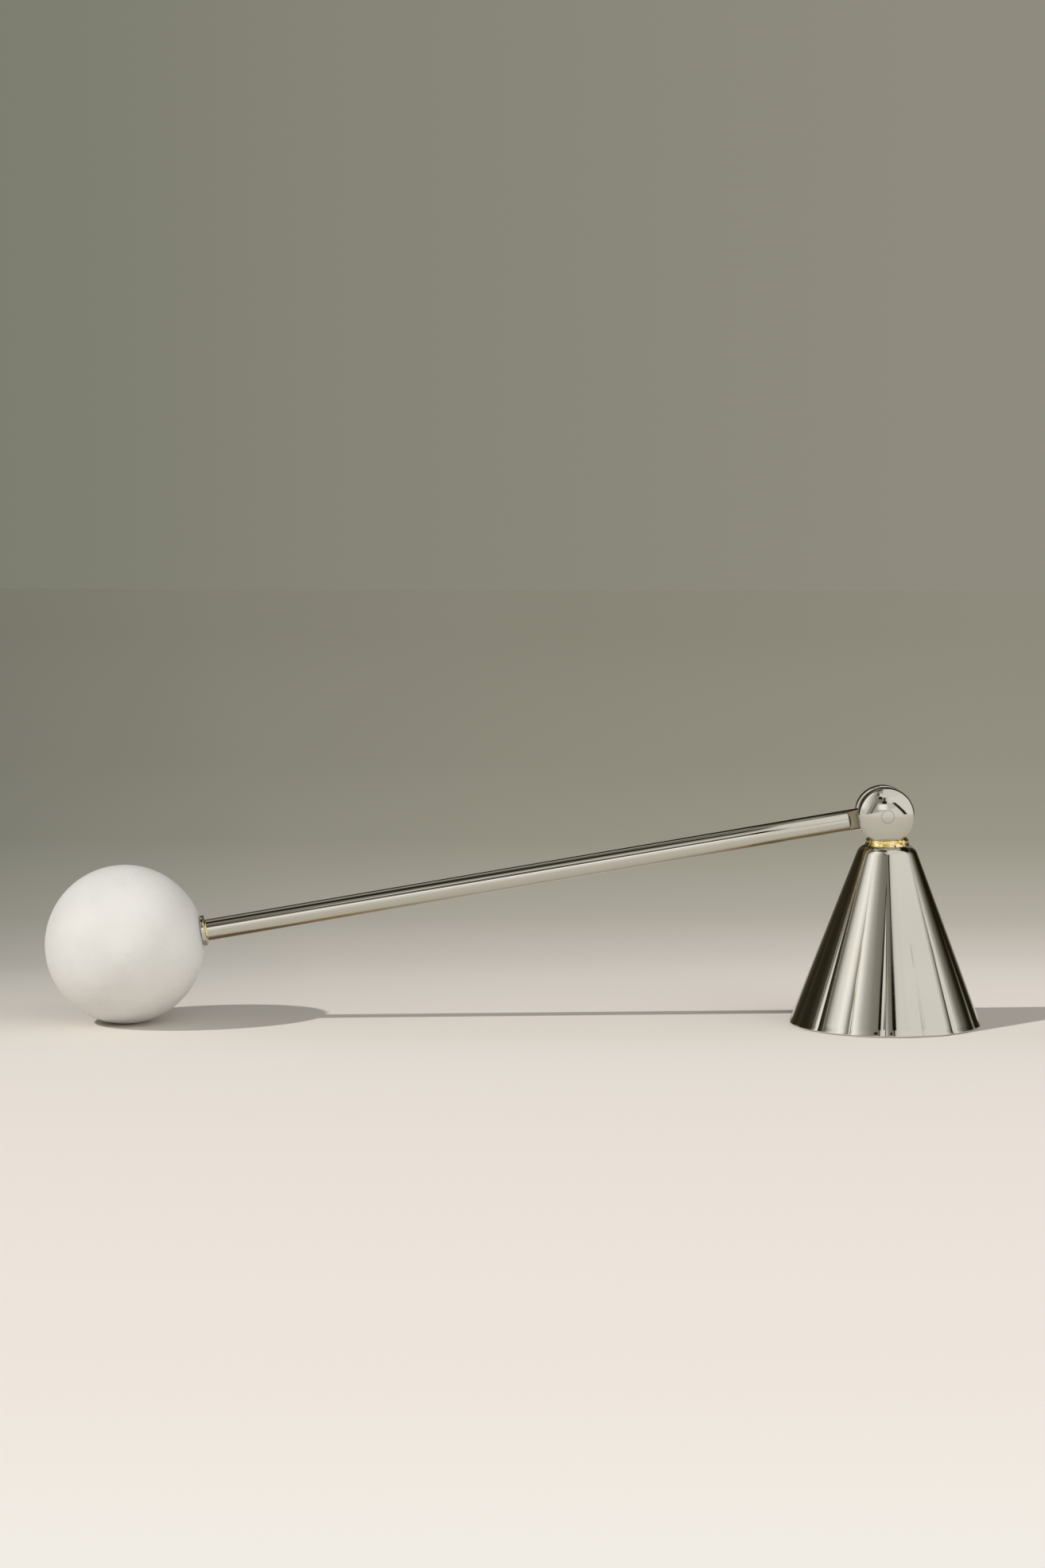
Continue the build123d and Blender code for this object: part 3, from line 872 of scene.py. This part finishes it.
floor_mesh = bpy.data.meshes.new("floor")
floor_mesh.from_pydata(
    [(-FLOOR_REACH, -FLOOR_REACH, 0), (FLOOR_REACH, -FLOOR_REACH, 0),
     (FLOOR_REACH, FLOOR_REACH, 0), (-FLOOR_REACH, FLOOR_REACH, 0)],
    [], [(0, 1, 2, 3)],
)
floor = bpy.data.objects.new("floor", floor_mesh)
scene.collection.objects.link(floor)
floor_mesh.materials.append(floor_finish())


# ---------------------------------------------------------------- studio
# Walls all round by azimuth, as display levels: dark behind and at the sides, a softbox on the
# left, a white wall on the right
WALLS = (
    (-180, 140), (-168, 72), (-150, 44), (-122, 38), (-106, 62), (-92, 110), (-80, 208),
    (-66, 238), (-52, 216), (-38, 165), (-26, 126), (-12, 114), (0, 122), (6, 190), (14, 204),
    (50, 201), (90, 176), (104, 110), (116, 44), (128, 20), (144, 34), (162, 118), (179.9, 150),
)
# Things in front that show as lines in the rod, the dome and the bell: the low edge, high edge
# and softness in elevation, the same in azimuth, and the display level
FRONT_CARDS = (
    ((33.5, 41, 2), (-9, -1, 5), 112),
    ((27.5, 34, 1.5), (-7.5, 5.5, 3), 24),
    ((39.4, 46.5, 1.5), (-20, -8, 3), 28),
    ((32, 44, 2), (-1.8, 1.8, 1.2), 20),
    ((12, 26, 4), (-17, 5, 14), 232),
)
FILL_LOW, FILL_HIGH = 0.235, 2.2
FILL_FROM = (0.62, -0.72, -0.29)
FILL_COLOUR = (1.0, 0.99, 0.97)


def grey(value):
    """The studio's warm grey as the nickel shows it, from its display level."""
    shown = linear(value, value - 5, max(value - 17, 2))
    return [amount / tint for amount, tint in zip(shown, NICKEL)]


def studio_world():
    """Plain grey wall for the camera, and the studio's cards by direction for the metal.

    Azimuth is measured from straight in front of the snuffer, positive to its right.
    """
    world = bpy.data.worlds.new("studio")
    scene.world = world
    world.use_nodes = True
    tree = world.node_tree
    tree.nodes.clear()
    towards = add(tree, "ShaderNodeTexCoord").outputs["Generated"]
    axes = add(tree, "ShaderNodeSeparateXYZ", {0: towards}).outputs
    ahead = math(tree, "MULTIPLY", axes["Y"], -1.0)
    azimuth = math(tree, "DEGREES", math(tree, "ARCTAN2", axes["X"], ahead))
    elevation = math(tree, "DEGREES", math(tree, "ARCSINE", axes["Z"]))

    def rising(value, edge, soft):
        return level(tree, value, edge - soft / 2, edge + soft / 2, smooth=True)

    def falling(value, edge, soft):
        return level(tree, value, edge - soft / 2, edge + soft / 2, 1.0, 0.0, smooth=True)

    def between(value, low, high, soft):
        return math(tree, "MULTIPLY", rising(value, low, soft), falling(value, high, soft))

    def overlap(*masks):
        product = masks[0]
        for mask in masks[1:]:
            product = math(tree, "MULTIPLY", product, mask)
        return product

    turn = math(tree, "ADD", math(tree, "DIVIDE", azimuth, 360.0), 0.5)
    colour = ramp(tree, turn, [(angle / 360 + 0.5, grey(value)) for angle, value in WALLS])

    def card(tone, *masks):
        """Lay a card of one tone over what is there, where all of its masks meet."""
        nonlocal colour
        if isinstance(tone, (int, float)):
            tone = grey(tone)
        colour = blend_colours(tree, overlap(*masks), colour, tone)

    # Front wedge below the bell's view: dark at its slanting left edge, lighter to the right
    wedge_edge = math(tree, "ADD", math(tree, "MULTIPLY", elevation, 0.5), -39.0)
    past_edge = math(tree, "SUBTRACT", azimuth, wedge_edge)
    wedge_tone = ramp(tree, level(tree, past_edge, 0, 45), [
        (0.0, grey(40)), (0.05, grey(66)), (0.11, grey(150)), (0.4, grey(166)), (1.0, grey(184)),
    ])
    # Softbox light that spills under its own edge on the left, and dims next to the wedge
    low = falling(elevation, 29, 6)
    card(188, falling(past_edge, -0.5, 1.5), rising(azimuth, -72, 10), falling(elevation, 12, 14))
    card(134, between(past_edge, -9, 1, 8), low)
    card(wedge_tone, rising(past_edge, 0.5, 1.5), low, falling(azimuth, 30, 10))
    # White wall above a slanting dark gap on the right
    slant = math(tree, "ADD", azimuth, elevation)
    front_right = overlap(rising(azimuth, 12, 6), falling(azimuth, 84, 8))
    card(206, front_right, rising(slant, 57, 2), rising(elevation, -2, 3))
    card(44, between(slant, 49.5, 59.5, 2), falling(elevation, 29.5, 2.5), falling(azimuth, 74, 6))
    # Pale table top up to its far edge, which rises to a corner at the right
    table_edge = math(tree, "ADD", math(tree, "MULTIPLY", azimuth, 0.235), 10.0)
    under_edge = math(tree, "SUBTRACT", table_edge, elevation)
    card(200, rising(under_edge, 0, 1.5), falling(slant, 49, 2), rising(azimuth, -43, 4))
    # Front ceiling: light from the middle to the right, dim overhead and towards the left
    front = rising(ahead, 0.0, 0.2)
    left = falling(azimuth, -12, 10)
    card(200, rising(elevation, 44, 3), front, rising(azimuth, -24, 6))
    card(86, between(azimuth, -27, -18, 3), between(elevation, 46, 64, 4))
    card(152, between(elevation, 55, 76, 6), between(azimuth, -22, -4, 8))
    card(128, rising(elevation, 61, 8), front, left)
    card(40, rising(elevation, 70, 5), left)
    # Back of the studio above the sweep: a dim ceiling with a dark and a pale part, and a dark
    # band straight behind
    back = falling(ahead, -0.1, 0.25)
    card(88, between(elevation, 34, 69, 6), back)
    card(24, between(elevation, 36, 70, 4), rising(azimuth, 96, 8), falling(azimuth, 172, 6))
    card(142, between(elevation, 50, 68, 5), between(azimuth, -172, -138, 6))
    card(126, rising(elevation, 82.8, 2))
    card(138, rising(elevation, 75.8, 1.5), falling(azimuth, -130, 20))
    aside = math(tree, "ABSOLUTE", azimuth)
    card(36, between(elevation, 0, 36, 4), rising(aside, 168, 6))
    card(24, between(elevation, 30, 55, 4), rising(aside, 173, 3))
    for (low_edge, high_edge, soft), (left_edge, right_edge, side_soft), tone in FRONT_CARDS:
        card(
            tone, between(elevation, low_edge, high_edge, soft),
            between(azimuth, left_edge, right_edge, side_soft),
        )

    path = add(tree, "ShaderNodeLightPath").outputs
    # Soft fill for matt surfaces, mostly from the front and the right
    lobe = add(
        tree, "ShaderNodeVectorMath", {0: towards, 1: FILL_FROM}, operation="DOT_PRODUCT"
    ).outputs["Value"]
    fill = level(tree, lobe, 0.0, 1.0, FILL_LOW, FILL_HIGH, smooth=True)
    fill_colour = blend_colours(tree, 1.0, FILL_COLOUR, fill, "MULTIPLY")
    wall = ramp(tree, level(tree, axes["X"], -0.15, 0.15), [
        (0.0, linear(123, 124, 110)), (0.5, linear(136, 134, 121)), (1.0, linear(143, 140, 127)),
    ])
    colour = blend_colours(tree, path["Is Diffuse Ray"], colour, fill_colour)
    colour = blend_colours(tree, path["Is Camera Ray"], colour, wall)
    background = add(tree, "ShaderNodeBackground", {"Color": colour, "Strength": 1.0})
    output = add(tree, "ShaderNodeOutputWorld")
    tree.links.new(background.outputs[0], output.inputs[0])


studio_world()

KEY_RUNS = (1.06, 0.46, -1.0)           # the way the key light shines
key = bpy.data.lights.new("key", "SUN")
key.energy = 2.2
key.angle = radians(1.4)
key.color = (1.0, 0.985, 0.965)
key_light = bpy.data.objects.new("key", key)
scene.collection.objects.link(key_light)
key_light.rotation_euler = Vector(KEY_RUNS).to_track_quat("-Z", "Y").to_euler()
key_light.visible_glossy = False

# ---------------------------------------------------------------- camera
CAMERA_AIM = Vector((BELL_AXIS_X - 103.651, 0, 68.267)) * MM
CAMERA_DISTANCE = 0.98575
yaw, pitch, roll = radians(1.26), radians(4.947), radians(0.216)
forward = Vector((sin(yaw) * cos(pitch), cos(yaw) * cos(pitch), -sin(pitch)))
level_right = Vector((cos(yaw), -sin(yaw), 0))
upright = level_right.cross(forward)
right = cos(roll) * level_right + sin(roll) * upright
up = -sin(roll) * level_right + cos(roll) * upright
camera_data = bpy.data.cameras.new("camera")
camera_data.lens = 80.0
camera_data.sensor_width = 36.0
camera = bpy.data.objects.new("camera", camera_data)
scene.collection.objects.link(camera)
basis = Matrix((right, up, -forward)).transposed().to_4x4()
camera.matrix_world = Matrix.Translation(CAMERA_AIM - forward * CAMERA_DISTANCE) @ basis
scene.camera = camera
